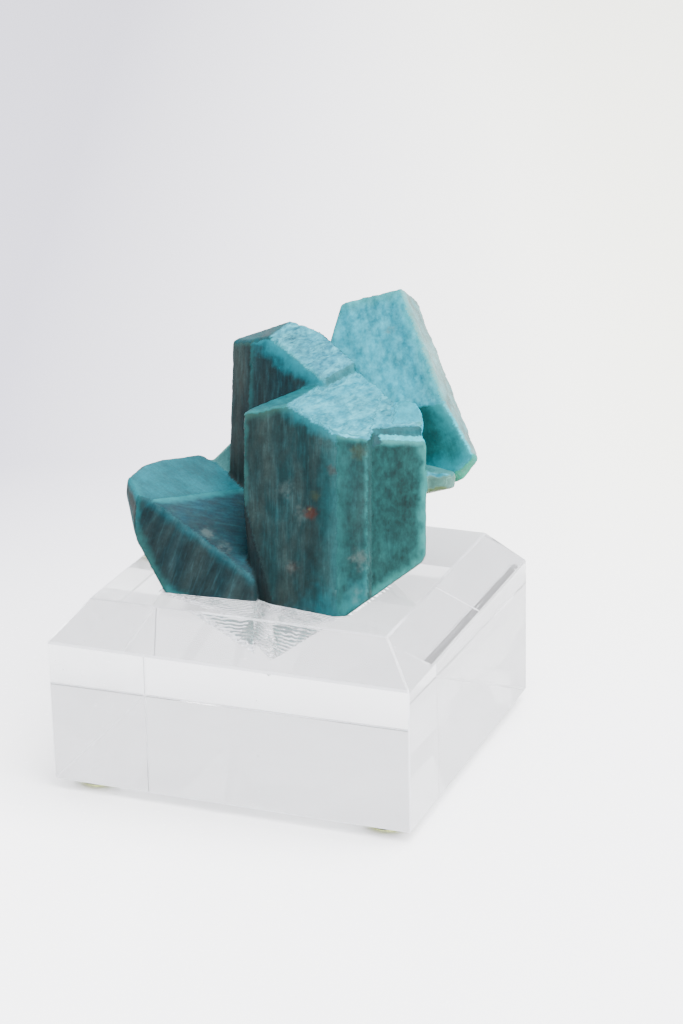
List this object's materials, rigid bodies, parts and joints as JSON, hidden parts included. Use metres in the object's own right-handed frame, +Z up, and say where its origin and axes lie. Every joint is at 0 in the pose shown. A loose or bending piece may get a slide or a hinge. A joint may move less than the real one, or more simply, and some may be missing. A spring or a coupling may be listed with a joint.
{
  "type": "rough amazonite specimen on a clear base",
  "caption": "Cluster of blocky rough amazonite crystals set in a clear block with bevelled top edges, on small domed bumper feet.",
  "frame": {"origin": "on the surface the feet stand on, under the middle of the base", "axes": "+Z up, the base's front side looks along -Y, +X to the right as seen from the front"},
  "size_m": [0.0508, 0.0484, 0.0609],
  "materials": {
    "amazonite": "natural crystal faces, fine growth lines, pearly roofs",
    "clear_acrylic": "polished clear",
    "clear_polyurethane": "glossy clear"
  },
  "bodies": {
    "root": {"amazonite_cluster": "amazonite", "acrylic_base": "clear_acrylic", "foot_front_left": "clear_polyurethane", "foot_front_right": "clear_polyurethane", "foot_back_left": "clear_polyurethane", "foot_back_right": "clear_polyurethane"}
  },
  "joints": []
}
